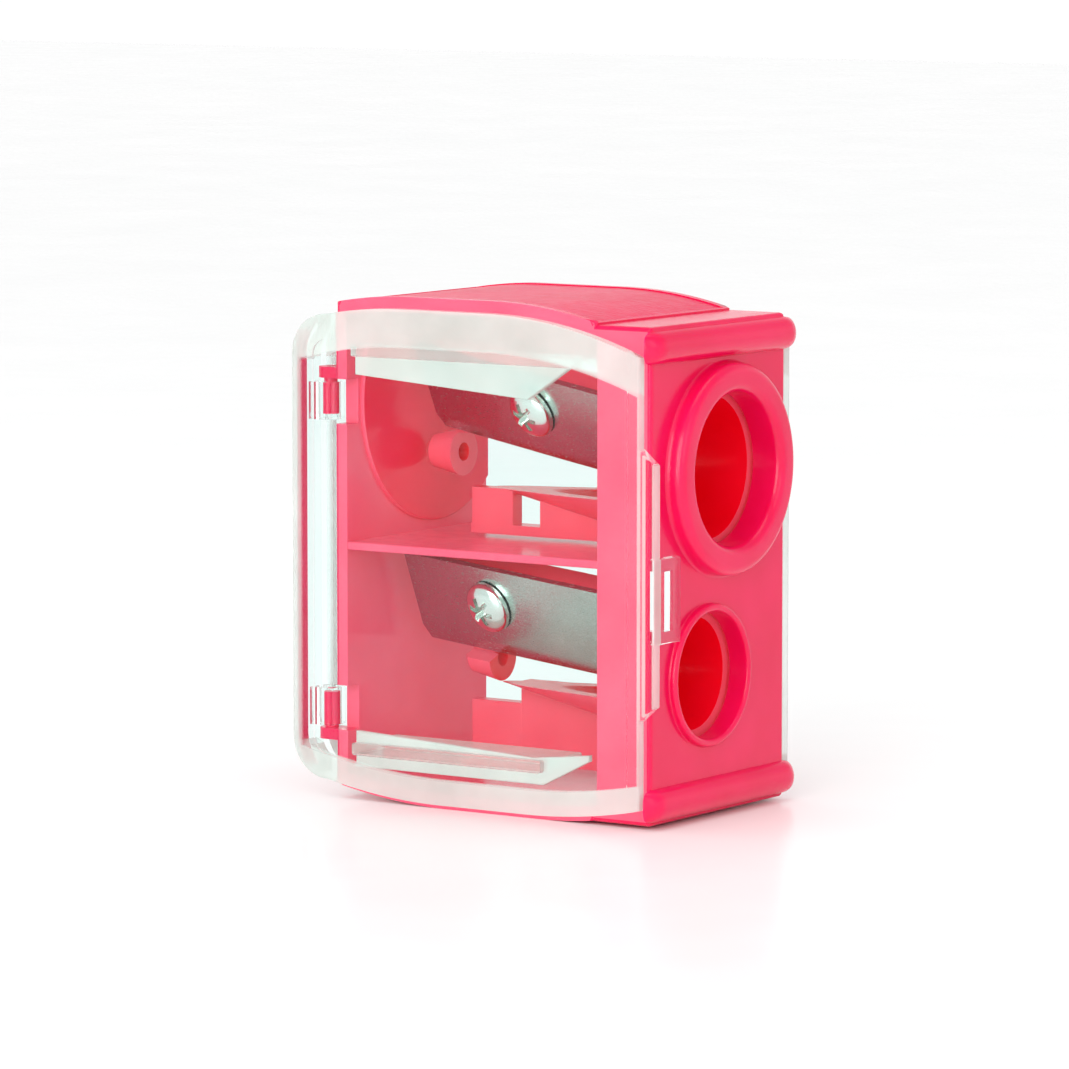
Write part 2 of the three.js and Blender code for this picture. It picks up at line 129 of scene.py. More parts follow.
# Sharpening cores, blades and screws.
TAPER = math.radians(12)
CORE_FRONT_X = 14.5
CONE_START_X = 15.0
CORE_WALL = 1.1
TIP_WALL = 0.9
LARGE = {
    "axis_z": 27.4, "axis_y": 0.8, "mouth": 6.1, "rim": 8.4, "reach": LARGE_REACH, "bore": 5.8,
    "tip": -10.8, "floor": DIVIDER_HIGH_Z + GAP, "ceiling": MIRROR_HEIGHT - WALL - BOW_RISE - GAP,
    "blade_x": 1.35, "screw_x": 2.0, "lean": math.radians(27), "rise": math.radians(7.5),
    "edge_above_axis": 0.5,
    "ribs": [(-0.4, 14.2, 26.4), (-7.0, -3.0, 26.4)],
    "throat": {"back": -8.8, "front": 8.5, "below": 2.6, "above": 1.6},
}
SMALL = {
    "axis_z": 11.3, "axis_y": -1.5, "mouth": 5.05, "rim": 5.65, "reach": 0.6, "bore": 4.6,
    "tip": -5.4, "floor": WALL + BOW_RISE + GAP, "ceiling": DIVIDER_LOW_Z - GAP,
    "blade_x": 0.7, "screw_x": -2.2, "lean": math.radians(22), "rise": math.radians(3.6),
    "edge_above_axis": 0.25,
    "ribs": [(-2.2, 14.2, 10.3), (-7.0, -2.1, 7.6)],
    "throat": {"back": -3.4, "front": 8.5, "below": 1.9, "above": 0.8},
}
RIB_HALF = 0.7
FOOT = {"back": -7.0, "front": 14.2, "height": 0.8}
SEAT = {"half": 11.4, "depth": 2.4, "low": 0.9, "top": 0.3}
BELOW_EDGE = 0.2
SCREW_CLEARANCE = 0.15
BLADE = {"length": 24.0, "width": 8.0, "thick": 0.55, "bevel": 1.5, "hole": 1.5, "round": 0.05}
SCREW = {"head": 2.15, "head_height": 1.2, "head_edge": 0.25, "shank": 1.0, "length": 1.7, "height": 4.7}
STAR = {"reach": 0.56, "half": 0.22, "depth": 0.75, "turn": 12, "mouth": 0.62, "floor": 0.5, "socket": 0.8}
SEAT_GAP = 0.12

# Roundings of edges, from the thin catch to the tray.
ROUND_CATCH = 0.08
ROUND_THIN = 0.1
ROUND_RIB = 0.12
ROUND_WALL = 0.15
ROUND_TRAY = 0.2

# A length past the whole part, one past any face, and a step that keeps faces from coinciding.
FAR = 80.0
PAST = 3
STEP = 0.01
TURNED_SEGMENTS = 128
SHARP_ANGLE = math.radians(32)


# ---------------------------------------------------------------- shapes, built in millimetres

def solid_from(bm):
    bmesh.ops.recalc_face_normals(bm, faces=bm.faces)
    mesh = bpy.data.meshes.new("solid")
    bm.to_mesh(mesh)
    bm.free()
    solid = bpy.data.objects.new("solid", mesh)
    bpy.context.scene.collection.objects.link(solid)
    return solid


def prism(points, low, high, axis="Y", rounding=0.0, steps=3):
    """An outline extruded along an axis: (x, z) along Y, (x, y) along Z or (y, z) along X."""
    place = {
        "Y": lambda u, v, w: (u, w, v),
        "Z": lambda u, v, w: (u, v, w),
        "X": lambda u, v, w: (w, u, v),
    }[axis]
    bm = bmesh.new()
    near = [bm.verts.new(place(u, v, low)) for u, v in points]
    far = [bm.verts.new(place(u, v, high)) for u, v in points]
    caps = [bm.faces.new(near), bm.faces.new(far)]
    for i in range(len(points)):
        j = (i + 1) % len(points)
        bm.faces.new((near[i], near[j], far[j], far[i]))
    if rounding:
        edges = list({edge for cap in caps for edge in cap.edges})
        bmesh.ops.bevel(bm, geom=edges, offset=rounding, segments=steps, profile=0.5, affect="EDGES")
    return solid_from(bm)


def block(x0, x1, y0, y1, z0, z1, rounding=0.0):
    bm = bmesh.new()
    corners = [bm.verts.new((x, y, z)) for x in (x0, x1) for y in (y0, y1) for z in (z0, z1)]
    for quad in ((0, 1, 3, 2), (4, 6, 7, 5), (0, 4, 5, 1), (2, 3, 7, 6), (0, 2, 6, 4), (1, 5, 7, 3)):
        bm.faces.new([corners[i] for i in quad])
    if rounding:
        bmesh.ops.bevel(
            bm, geom=bm.edges[:], offset=rounding, segments=3, profile=0.5, affect="EDGES",
        )
    return solid_from(bm)


def turned(profile, centre=(0.0, 0.0, 0.0), axis="X", segments=TURNED_SEGMENTS):
    """A closed profile of (radius, distance along the axis) points turned about that axis."""
    bm = bmesh.new()
    rings = []
    for i in range(segments):
        angle = 2 * math.pi * i / segments
        ring = []
        for radius, along in profile:
            u, v = radius * math.cos(angle), radius * math.sin(angle)
            at = {"X": (along, u, v), "Y": (u, along, v), "Z": (u, v, along)}[axis]
            ring.append(bm.verts.new(Vector(at) + Vector(centre)))
        rings.append(ring)
    count = len(profile)
    for i in range(segments):
        a, b = rings[i], rings[(i + 1) % segments]
        for k in range(count):
            m = (k + 1) % count
            if profile[k][0] or profile[m][0]:
                bm.faces.new((a[k], a[m], b[m], b[k]))
    bmesh.ops.remove_doubles(bm, verts=bm.verts[:], dist=1e-5)
    return solid_from(bm)


def post(x, y, radius, z0, z1, segments=48):
    profile = [(0, z0), (radius, z0), (radius, z1), (0, z1)]
    return turned(profile, (x, y, 0), "Z", segments)


def moved(solid, matrix):
    solid.data.transform(matrix)
    return solid


def upside_down(solid):
    copy = bpy.data.objects.new("solid", solid.data.copy())
    bpy.context.scene.collection.objects.link(copy)
    copy.data.transform(Matrix.Translation((0, 0, MIRROR_HEIGHT)) @ Matrix.Scale(-1, 4, (0, 0, 1)))
    copy.data.flip_normals()
    return copy


def with_mirror(solid):
    return [solid, upside_down(solid)]


def combine(solid, tools, operation):
    for tool in tools:
        modifier = solid.modifiers.new("combine", "BOOLEAN")
        modifier.operation = operation
        modifier.solver = "MANIFOLD"
        modifier.object = tool
    graph = bpy.context.evaluated_depsgraph_get()
    mesh = bpy.data.meshes.new_from_object(solid.evaluated_get(graph))
    solid.modifiers.clear()
    solid.data = mesh
    for tool in tools:
        bpy.data.objects.remove(tool)
    return solid


def add(solid, *tools):
    return combine(solid, tools, "UNION")


def cut(solid, *tools):
    return combine(solid, tools, "DIFFERENCE")


def keep(solid, *tools):
    return combine(solid, tools, "INTERSECT")


def bow(x):
    past = max(0.0, abs(x - BOW_CENTRE_X) - REST_HALF_LENGTH)
    return BOW_RISE * (past / (BOW_HALF_CHORD - REST_HALF_LENGTH)) ** 2


def bowed_edge(start, stop, offset, steps=44):
    return [(x, bow(x) + offset) for x in np.linspace(start, stop, steps).tolist()]


def crown(x):
    past = max(0.0, abs(x - CROWN["centre"]) - CROWN["rest"])
    return HEIGHT - CROWN["drop"] * (past / CROWN["chord"]) ** 2


def crowned_outline(bottom, top_inset=0.0):
    return bottom + [(x, crown(x) - top_inset - (z - bow(x))) for x, z in reversed(bottom)]


# ---------------------------------------------------------------- moulded body

def case_shell():
    outer = crowned_outline(bowed_edge(BACK_X, EAR_START_X, 0))
    ears = block(
        EAR_START_X - EAR_OVERLAP, FACE_X, -BODY_HALF_WIDTH, BODY_HALF_WIDTH,
        EAR_INSET, MIRROR_HEIGHT - EAR_INSET, BODY_ROUND,
    )
    inner = crowned_outline(bowed_edge(BACK_X + WALL, FACE_X - WALL, WALL))
    shell = add(prism(outer, -BODY_HALF_WIDTH, BODY_HALF_WIDTH, rounding=BODY_ROUND, steps=4), ears)
    hollow = prism(inner, -FAR, FAR)
    edge = bowed_edge(FIELD["back"], FIELD["front"], FIELD["depth"])
    fields = [
        prism(points + [(FIELD["front"], beyond), (FIELD["back"], beyond)], -FIELD["half"], FIELD["half"])
        for points, beyond in (
            (edge, -PAST),
            ([(x, crown(x) - FIELD["depth"]) for x, _ in edge], HEIGHT + PAST),
        )
    ]
    return cut(shell, hollow, *fields)


def bottom_lip():
    side, corner = CASE_HALF_WIDTH, LIP_CORNER
    start = FACE_X - WALL
    middle = LIP_INSET + LIP_HEIGHT / 2
    bm = bmesh.new()
    rows = []
    for t in np.linspace(-1, 1, 61):
        y = side * math.sin(t * math.pi / 2)
        over = max(0.0, abs(y) - (side - corner))
        front = FACE_X + LIP_REACH - (corner - math.sqrt(max(0.0, corner**2 - over**2)))
        half = LIP_HEIGHT / 2 * (1 - LIP_TAPER * (over / corner) ** 2)
        row = []
        for angle in np.linspace(-math.pi / 2, math.pi / 2, 27):
            bulge = abs(math.cos(angle)) ** LIP_FULLNESS
            row.append(bm.verts.new((start + (front - start) * bulge, y, middle + half * math.sin(angle))))
        rows.append(row)
    for a, b in zip(rows, rows[1:]):
        for k in range(len(a) - 1):
            bm.faces.new((a[k], a[k + 1], b[k + 1], b[k]))
        bm.faces.new((a[0], b[0], b[-1], a[-1]))
    bm.faces.new(rows[0])
    bm.faces.new(rows[-1])
    lip = solid_from(bm)
    wings = [block(0, FACE_X, s * BODY_HALF_WIDTH, s * 2 * side, -1, 2 * LIP_HEIGHT) for s in (-1, 1)]
    return cut(lip, *wings)


def mouth_collar(core, flare=0.35):
    """The collar around a pencil hole: a flared foot, a straight wall and a rounded front edge."""
    mouth, rim, reach = core["mouth"], core["rim"], core["reach"]
    corner = min(0.75, 0.48 * (rim - mouth), 0.9 * reach)
    spread = flare * reach * 0.5
    inside = FACE_X - 0.5
    profile = [(mouth, inside), (rim + spread, inside), (rim + spread, FACE_X)]
    profile += [
        (rim + spread * (1 - math.sin(a)), FACE_X + (reach - corner) * 0.6 * (1 - math.cos(a)))
        for a in np.linspace(0.2, math.pi / 2, 6)
    ]
    for centre, start, stop in (
        (rim - corner, 0.0, math.pi / 2),
        (mouth + corner, math.pi / 2, math.pi),
    ):
        profile += [
            (centre + corner * math.cos(a), FACE_X + reach - corner + corner * math.sin(a))
            for a in np.linspace(start, stop, 9)
        ]
    return turned(profile, (0, core["axis_y"], core["axis_z"]))


def mouth_hole(core):
    mouth, start, end = core["mouth"], FACE_X - 2 * WALL, FACE_X + PAST
    profile = [(0, start), (mouth, start), (mouth, end), (0, end)]
    return turned(profile, (0, core["axis_y"], core["axis_z"]))


def header():
    """A thin wall along the far side, under the top."""
    outer = BODY_HALF_WIDTH - HEADER["inset"]
    low = MIRROR_HEIGHT - WALL - HEADER["height"]
    back, front = BACK_X + MID_WALL, FACE_X - MID_WALL
    top = [(x, crown(x) - MID_WALL) for x in np.linspace(front, back, 40).tolist()]
    return prism([(back, low), (front, low)] + top, outer - HEADER["thick"], outer)


def back_pad():
    """A round pad on the inside of the back wall, cut off at the shelf, the sides and the top; its face is
    painted a deeper red as shade.
    """
    radius, bevel, root = PAD["radius"], ROUND_THIN, BACK_X + MID_WALL
    disc = turned([
        (0, root), (radius, root), (radius, PAD_X - bevel), (radius - bevel, PAD_X), (0, PAD_X),
    ], (0, PAD["y"], PAD["z"]))
    half = BODY_HALF_WIDTH - HEADER["inset"]
    return keep(disc, block(BACK_X, 0, -half, half, DIVIDER_LOW_Z, PAD["top"]))


def knuckle_notch():
    return block(
        BACK_X - WALL, BACK_X + 2 * WALL, -CASE_HALF_WIDTH, NOTCH_INNER_Y,
        KNUCKLE_LOW_Z - GAP, KNUCKLE_HIGH_Z + GAP,
    )


def hinge_arm():
    """An arm behind the back wall, with the pin that a door knuckle turns on."""
    x, y, radius = HINGE["x"], HINGE["y"], ARM["radius"]
    high = KNUCKLE_LOW_Z - GAP
    low = high - ARM["height"]
    web = block(x, BACK_X + MID_WALL, y - radius, y + radius, low, high)
    boss = post(x, y, radius, low, high)
    pin = post(x, y, HINGE["pin"], (low + high) / 2, KNUCKLE_HIGH_Z - ARM["pin_short"])
    return add(web, boss, pin)


def catch_tooth():
    """The low tooth on the mouth face that the latch tab's slot passes over."""
    margin = CATCH["margin"]
    return block(
        FACE_X - MID_WALL, FACE_X + CATCH["height"], TAB_SLOT["near"] + margin, TAB_SLOT["far"] - margin,
        TAB_SLOT["low"] + margin, TAB_SLOT["high"] - margin, ROUND_CATCH,
    )


def body_frame():
    divider = block(
        BACK_X + MID_WALL, FACE_X - MID_WALL, -BODY_HALF_WIDTH + 5 * STEP, BODY_HALF_WIDTH - 5 * STEP,
        DIVIDER_LOW_Z, DIVIDER_HIGH_Z, ROUND_WALL,
    )
    flange = block(
        FLANGE_BACK_X, FACE_X - MID_WALL, -BODY_HALF_WIDTH + STEP, FLANGE_THICK - BODY_HALF_WIDTH,
        MID_WALL, MIRROR_HEIGHT - MID_WALL, ROUND_CATCH,
    )
    solid = add(case_shell(), divider, flange, header(), back_pad(), *with_mirror(bottom_lip()))
    solid = add(solid, mouth_collar(LARGE), mouth_collar(SMALL))
    solid = cut(solid, mouth_hole(LARGE), mouth_hole(SMALL), *with_mirror(knuckle_notch()))
    return add(solid, *with_mirror(hinge_arm()), catch_tooth())


# ---------------------------------------------------------------- sharpening cores, blades and screws

def cone_radius(core, x):
    return core["bore"] - max(0.0, CONE_START_X - x) * math.tan(TAPER)


def blade_placement(core):
    edge_y = core["axis_y"] - cone_radius(core, core["blade_x"])
    return (
        Matrix.Translation((core["blade_x"], edge_y, core["axis_z"] + core["edge_above_axis"]))
        @ Matrix.Rotation(-TAPER, 4, "Z")
        @ Matrix.Rotation(core["rise"], 4, "Y")
        @ Matrix.Rotation(core["lean"], 4, "X")
    )


def screw_offset(core):
    return (core["screw_x"] - core["blade_x"], 0, SCREW["height"])


def sharpener_core(core):
    centre = (0, core["axis_y"], core["axis_z"])
    place = blade_placement(core)
    tip = core["tip"]
    outer_tip = cone_radius(core, tip) + CORE_WALL
    outer_front = cone_radius(core, CORE_FRONT_X) + CORE_WALL
    end, bevel = tip - TIP_WALL, 0.4
    skin = turned([
        (0, end), (outer_tip - bevel, end), (outer_tip, end + bevel),
        (outer_front, CORE_FRONT_X), (0, CORE_FRONT_X),
    ], centre)
    bore = turned([
        (0, tip), (cone_radius(core, tip), tip), (core["bore"], CONE_START_X), (0, CONE_START_X),
    ], centre)
    half = SEAT["half"]
    seat_high = BLADE["width"] - SEAT["top"]
    seat = moved(block(-half, half, SEAT_GAP, SEAT["depth"], SEAT["low"], seat_high, ROUND_WALL), place)
    blade_side = moved(block(-FAR, FAR, -FAR, SEAT_GAP, -BELOW_EDGE, FAR), place)
    hole_radius = SCREW["shank"] + SCREW_CLEARANCE
    depth = 2 * SEAT["depth"]
    hole = turned(
        [(0, -depth), (hole_radius, -depth), (hole_radius, depth), (0, depth)], screw_offset(core), "Y", 32,
    )
    gap = core["throat"]
    throat = block(
        gap["back"], gap["front"], -FAR, FAR, core["axis_z"] - gap["below"], core["axis_z"] + gap["above"],
    )
    floor = core["floor"]
    ribs = [
        block(x0, x1, -RIB_HALF, RIB_HALF, floor, top, ROUND_THIN)
        for x0, x1, top in core["ribs"]
    ]
    foot_half = RIB_HALF + 2 * STEP
    foot = block(
        FOOT["back"] - 3 * STEP, FOOT["front"] + 3 * STEP, -foot_half, foot_half, floor,
        floor + FOOT["height"],
    )
    room = block(BACK_X + WALL + GAP, CORE_FRONT_X, -FAR, FAR, floor, core["ceiling"])
    solid = add(skin, seat, foot, *ribs)
    solid = cut(solid, bore, blade_side, throat, moved(hole, place))
    return keep(solid, room)


def blade(core):
    length, width, thick = BLADE["length"], BLADE["width"], BLADE["thick"]
    section = [(0, 0), (0, width), (-thick, width), (-thick, BLADE["bevel"])]
    strip = prism(section, -length / 2, length / 2, "X", BLADE["round"], 2)
    profile = [(0, -PAST), (BLADE["hole"], -PAST), (BLADE["hole"], PAST), (0, PAST)]
    hole = turned(profile, screw_offset(core), "Y", 48)
    return moved(cut(strip, hole), blade_placement(core))


def blade_screw(core):
    head, height, shank = SCREW["head"], SCREW["head_height"], SCREW["shank"]
    under = -BLADE["thick"] - SEAT_GAP
    end = under + SCREW["length"] + BLADE["thick"]
    edge = SCREW["head_edge"]
    dome = [
        (head * math.sin(a), under - edge - (height - edge) * math.cos(a))
        for a in np.linspace(0, math.pi / 2, 14)
    ]
    profile = dome + [(head, under), (shank, under), (shank, end), (0, end)]
    screw = turned(profile, (0, 0, 0), "Y", 64)
    top = under - height
    slots = []
    for turn in (0, 60, 120):
        reach = head * STAR["reach"]
        slot = block(-reach, reach, top - 1, top + STAR["depth"], -STAR["half"], STAR["half"])
        slots.append(moved(slot, Matrix.Rotation(math.radians(turn + STAR["turn"]), 4, "Y")))
    floor = top + STAR["socket"]
    socket = [(0, top - 1), (STAR["mouth"], top - 1), (STAR["floor"], floor), (0, floor)]
    slots.append(turned(socket, (0, 0, 0), "Y", 32))
    screw = cut(screw, *slots)
    return moved(screw, blade_placement(core) @ Matrix.Translation(screw_offset(core)))


# ---------------------------------------------------------------- clear covers

def cover_outline(inset, front_inset=None):
    back = COVER_BACK_X + inset
    radius = COVER_CORNER - inset
    front = COVER_FRONT_X - (inset if front_inset is None else front_inset)
    edge = bowed_edge(back + radius, front, COVER_INSET + inset)
    centre = (back + radius, edge[0][1] + radius)
    corner = [
        (centre[0] + radius * math.cos(a), centre[1] + radius * math.sin(a))
        for a in np.linspace(math.pi, 1.5 * math.pi, 17)[:-1]
    ]
    return crowned_outline(corner + edge, COVER_TOP_INSET - COVER_INSET)


def pane(y0, y1, outward):
    """A flat cover with rounded edges and a shallow window pocket in its outer face."""
    solid = prism(cover_outline(0), y0, y1, rounding=COVER_ROUND, steps=4)
    outer = y0 if outward < 0 else y1
    depth = PANE_FRAME["depth"]
    pocket = prism(
        cover_outline(PANE_FRAME["edge"], PANE_FRAME["sides"]),
        outer - outward * depth, outer + outward * PAST,
    )
    return cut(solid, pocket)


def back_rim(y0, y1, limit):
    outer = prism(cover_outline(0), y0, y1, rounding=COVER_ROUND, steps=4)
    inner = prism(cover_outline(COVER_WALL), y0 - 1, y1 + 1)
    return keep(cut(outer, inner), block(-FAR, limit, -FAR, FAR, -FAR, FAR))


def door_knuckle():
    reach = HINGE["barrel"]
    web = block(
        HINGE["x"] - reach + 2 * STEP, HINGE["x"] + reach - 2 * STEP, -CASE_HALF_WIDTH + 0.5, HINGE["y"],
        KNUCKLE_LOW_Z, KNUCKLE_HIGH_Z,
    )
    barrel = post(HINGE["x"], HINGE["y"], reach, KNUCKLE_LOW_Z + 2 * STEP, KNUCKLE_HIGH_Z - 2 * STEP)
    bore = post(HINGE["x"], HINGE["y"], HINGE["pin"] + HINGE["clearance"], 0, KNUCKLE_HIGH_Z + 1)
    return cut(add(web, barrel), bore)


def shelves():
    """The tray low inside the door and the ledge below its top."""
    root = DOOR_INNER_Y - GAP
    tray = block(
        RIB_BACK_X, TRAY["front"], root, TRAY["inner"], TRAY["low"], TRAY["low"] + TRAY["thick"], ROUND_TRAY,
    )
    ledge = block(
        RIB_BACK_X, APRON["front"][0], root, APRON["inner"],
        LEDGE_TOP_Z - TRAY["thick"], LEDGE_TOP_Z, ROUND_THIN,
    )
    return tray, ledge


def apron_and_skirt():
    """The thin upright plates: the apron under the ledge and the skirt that crosses the tray."""
    top = LEDGE_TOP_Z - 2 * STEP
    apron = prism([
        (RIB_BACK_X, top), (RIB_BACK_X, APRON["back_z"]), APRON["knee"], APRON["front"],
        (APRON["front"][0], top),
    ], APRON["outer"], APRON["inner"] + 2 * STEP, rounding=ROUND_RIB)
    skirt = prism(
        [(RIB_BACK_X, SKIRT_LOW_Z), *SKIRT, (RIB_BACK_X, SKIRT_BACK_Z)], APRON["outer"], APRON["inner"],
        rounding=ROUND_RIB,
    )
    return apron, skirt


def latch():
    """The strip along the door's front edge and the tab that turns onto the mouth face."""
    root = COVER_FRONT_X - 0.5
    strip = prism([
        (root, LATCH_LOW_Z), (COVER_FRONT_X, LATCH_LOW_Z), (LATCH_X, LATCH_LOW_Z + LATCH_BEVEL),
        (LATCH_X, LATCH_HIGH_Z - LATCH_BEVEL), (COVER_FRONT_X, LATCH_HIGH_Z), (root, LATCH_HIGH_Z),
    ], 2 * STEP - CASE_HALF_WIDTH, DOOR_INNER_Y - 2 * STEP, rounding=ROUND_WALL)
    tab = block(
        LATCH_X - TAB["thick"], LATCH_X, TAB["inset"] - CASE_HALF_WIDTH, TAB["reach"] + DOOR_INNER_Y,
        TAB["low"], TAB["high"], ROUND_RIB,
    )
    return strip, tab


def window_door():
    outer = -CASE_HALF_WIDTH
    slot = block(FACE_X, LATCH_X + 1, TAB_SLOT["near"], TAB_SLOT["far"], TAB_SLOT["low"], TAB_SLOT["high"])
    solid = add(pane(outer, DOOR_INNER_Y, -1), back_rim(outer, DOOR_RETURN_Y, HINGE["x"] - 0.2))
    solid = add(solid, *with_mirror(door_knuckle()), *shelves())
    solid = add(solid, *apron_and_skirt(), *latch())
    return cut(solid, slot)


def rear_cover():
    inner = BODY_HALF_WIDTH + GAP
    return add(
        pane(inner, CASE_HALF_WIDTH, 1), back_rim(REAR_COVER_RETURN_Y, CASE_HALF_WIDTH, BACK_X - GAP),
    )


# ---------------------------------------------------------------- materials

# Sockets of a Mix node that blends colours.
MIX_COLOUR_A = 6
MIX_COLOUR_B = 7
MIX_COLOUR = 2


class Look:
    """A node material with short calls for its nodes."""

    def __init__(self, name):
        self.material = bpy.data.materials.new(name)
        self.material.use_nodes = True
        self.tree = self.material.node_tree
        self.shader = self.tree.nodes["Principled BSDF"]
        self.output = self.tree.nodes["Material Output"]
        self.place = self.node("ShaderNodeTexCoord").outputs["Object"]

    def node(self, kind, **values):
        node = self.tree.nodes.new(kind)
        for key, value in values.items():
            setattr(node, key, value)
        return node

    def link(self, source, target):
        self.tree.links.new(source, target)

    def set(self, **values):
        for key, value in values.items():
            self.shader.inputs[key.replace("_", " ")].default_value = value

    def noise(self, per_metre, detail=3.0, roughness=0.55, stretch=None):
        node = self.node("ShaderNodeTexNoise")
        node.inputs["Scale"].default_value = per_metre
        node.inputs["Detail"].default_value = detail
        node.inputs["Roughness"].default_value = roughness
        source = self.place
        if stretch:
            mapping = self.node("ShaderNodeMapping")
            mapping.inputs["Scale"].default_value = stretch
            self.link(source, mapping.inputs["Vector"])
            source = mapping.outputs["Vector"]
        self.link(source, node.inputs["Vector"])
        return node.outputs["Fac"]

    def between(self, source, low, high, start=0.3, stop=0.7):
        node = self.node("ShaderNodeMapRange")
        for key, value in (("From Min", start), ("From Max", stop), ("To Min", low), ("To Max", high)):
            node.inputs[key].default_value = value
        self.link(source, node.inputs["Value"])
        return node.outputs["Result"]

    def ramp(self, source, stops):
        node = self.node("ShaderNodeValToRGB")
        elements = node.color_ramp.elements
        while len(elements) < len(stops):
            elements.new(0.5)
        for element, (at, colour) in zip(elements, stops):
            element.position = at
            element.color = (*colour, 1)
        self.link(source, node.inputs["Fac"])
        return node.outputs["Color"]

    def maths(self, operation, *values):
        node = self.node("ShaderNodeMath", operation=operation)
        for i, value in enumerate(values):
            if isinstance(value, (int, float)):
                node.inputs[i].default_value = value
            else:
                self.link(value, node.inputs[i])
        return node.outputs[0]

    def bump(self, source, strength, distance, before=None):
        node = self.node("ShaderNodeBump")
        node.inputs["Strength"].default_value = strength
        node.inputs["Distance"].default_value = distance
        self.link(source, node.inputs["Height"])
        if before:
            self.link(before, node.inputs["Normal"])
        return node.outputs["Normal"]


def field_mask(look):
    """1 on the sunk fields of the top and bottom, 0 on the smooth border around them."""
    split = look.node("ShaderNodeSeparateXYZ")
    look.link(look.place, split.inputs["Vector"])
    x, y, z = split.outputs
    fade = 0.15 * MM
    along = look.between(x, 0, 1, FIELD["back"] * MM, FIELD["back"] * MM + fade)
    before = look.between(x, 1, 0, FIELD["front"] * MM - fade, FIELD["front"] * MM)
    across = look.between(look.maths("ABSOLUTE", y), 1, 0, FIELD["half"] * MM - fade, FIELD["half"] * MM)
    low = look.between(z, 1, 0, FIELD["low"] * MM, (FIELD["low"] + 0.05) * MM)
    high = look.between(z, 0, 1, FIELD["high"] * MM, (FIELD["high"] + 0.05) * MM)
    outside = look.maths("MAXIMUM", low, high)
    lengthwise = look.maths("MULTIPLY", along, before)
    return look.maths("MULTIPLY", lengthwise, look.maths("MULTIPLY", across, outside))


def pink_plastic(name, textured, dark, light, coat):
    look = Look(name)
    tone = look.noise(140, 2.0)
    colour = look.ramp(tone, [(0.3, dark), (0.7, light)])
    look.link(colour, look.shader.inputs["Base Color"])
    gloss = look.noise(900, 4.0)
    roughness = look.between(gloss, 0.18, 0.26)
    fine = look.noise(2600, 2.0)
    normal = look.bump(fine, 0.05, 0.00002)
    if textured:
        mask = field_mask(look)
        dots = look.node("ShaderNodeTexVoronoi", feature="F1")
        dots.inputs["Scale"].default_value = 2300
        dots.inputs["Randomness"].default_value = 0.55
        look.link(look.place, dots.inputs["Vector"])
        grains = look.maths("MULTIPLY", dots.outputs["Distance"], mask)
        normal = look.bump(grains, 0.55, 0.00008, normal)
        roughness = look.maths("ADD", roughness, look.maths("MULTIPLY", mask, 0.14))
    look.link(roughness, look.shader.inputs["Roughness"])
    look.link(normal, look.shader.inputs["Normal"])
    look.set(IOR=1.42, Subsurface_Weight=0.3, Subsurface_Scale=0.0012, Coat_Weight=coat, Coat_Roughness=0.12)
    look.shader.inputs["Subsurface Radius"].default_value = (1.0, 0.2, 0.3)
    return look.material


def curved(look, x, centre, rest, chord, rise):
    """How far a bowed edge falls away at x, in metres."""
    from_centre = look.maths("ABSOLUTE", look.maths("SUBTRACT", x, centre * MM))
    past = look.maths("MAXIMUM", look.maths("SUBTRACT", from_centre, rest * MM), 0.0)
    share = look.maths("DIVIDE", past, chord * MM)
    return look.maths("MULTIPLY", look.maths("MULTIPLY", share, share), rise * MM)


def frost_and_edge_highlight_mask(look):
    """1 on the frosted border of a cover and on the painted highlight strips along its front and back edges,
    0 on its window.
    """
    split = look.node("ShaderNodeSeparateXYZ")
    look.link(look.place, split.inputs["Vector"])
    x, y, z = split.outputs
    fade = 0.12
    apron_reach = 1.1
    chord = BOW_HALF_CHORD - REST_HALF_LENGTH
    band = PANE_FRAME["edge"] - 0.1
    floor = look.maths("SUBTRACT", z, curved(look, x, BOW_CENTRE_X, REST_HALF_LENGTH, chord, BOW_RISE))
    fall = curved(look, x, CROWN["centre"], CROWN["rest"], CROWN["chord"], CROWN["drop"])
    roof = look.maths("ADD", z, fall)
    low_edge = COVER_INSET + band
    high_edge = HEIGHT - COVER_TOP_INSET - band - apron_reach
    low = look.between(floor, 1, 0, low_edge * MM, (low_edge + fade) * MM)
    high = look.between(roof, 0, 1, (high_edge - fade) * MM, high_edge * MM)
    # The narrow whitish strips at the front edges and along the back edge are painted highlight, standing in
    # for the bright lines that refraction makes at those edges.
    edges = [
        look.between(look.maths("ABSOLUTE", look.maths("SUBTRACT", x, at * MM)), 1, 0, 0.12 * MM, 0.2 * MM)
        for at in (COVER_FRONT_X, LATCH_X)
    ]
    front = look.maths("MAXIMUM", *edges)
    back = look.between(x, 1, 0, (COVER_BACK_X + 0.7) * MM, (COVER_BACK_X + 1.0) * MM)
    pane_from = BODY_HALF_WIDTH + GAP
    on_pane = look.between(look.maths("ABSOLUTE", y), 0, 1, (pane_from - 0.1) * MM, pane_from * MM)
    sides = look.maths("MULTIPLY", look.maths("MAXIMUM", front, back), on_pane)
    return look.maths("MAXIMUM", look.maths("MAXIMUM", low, high), sides)


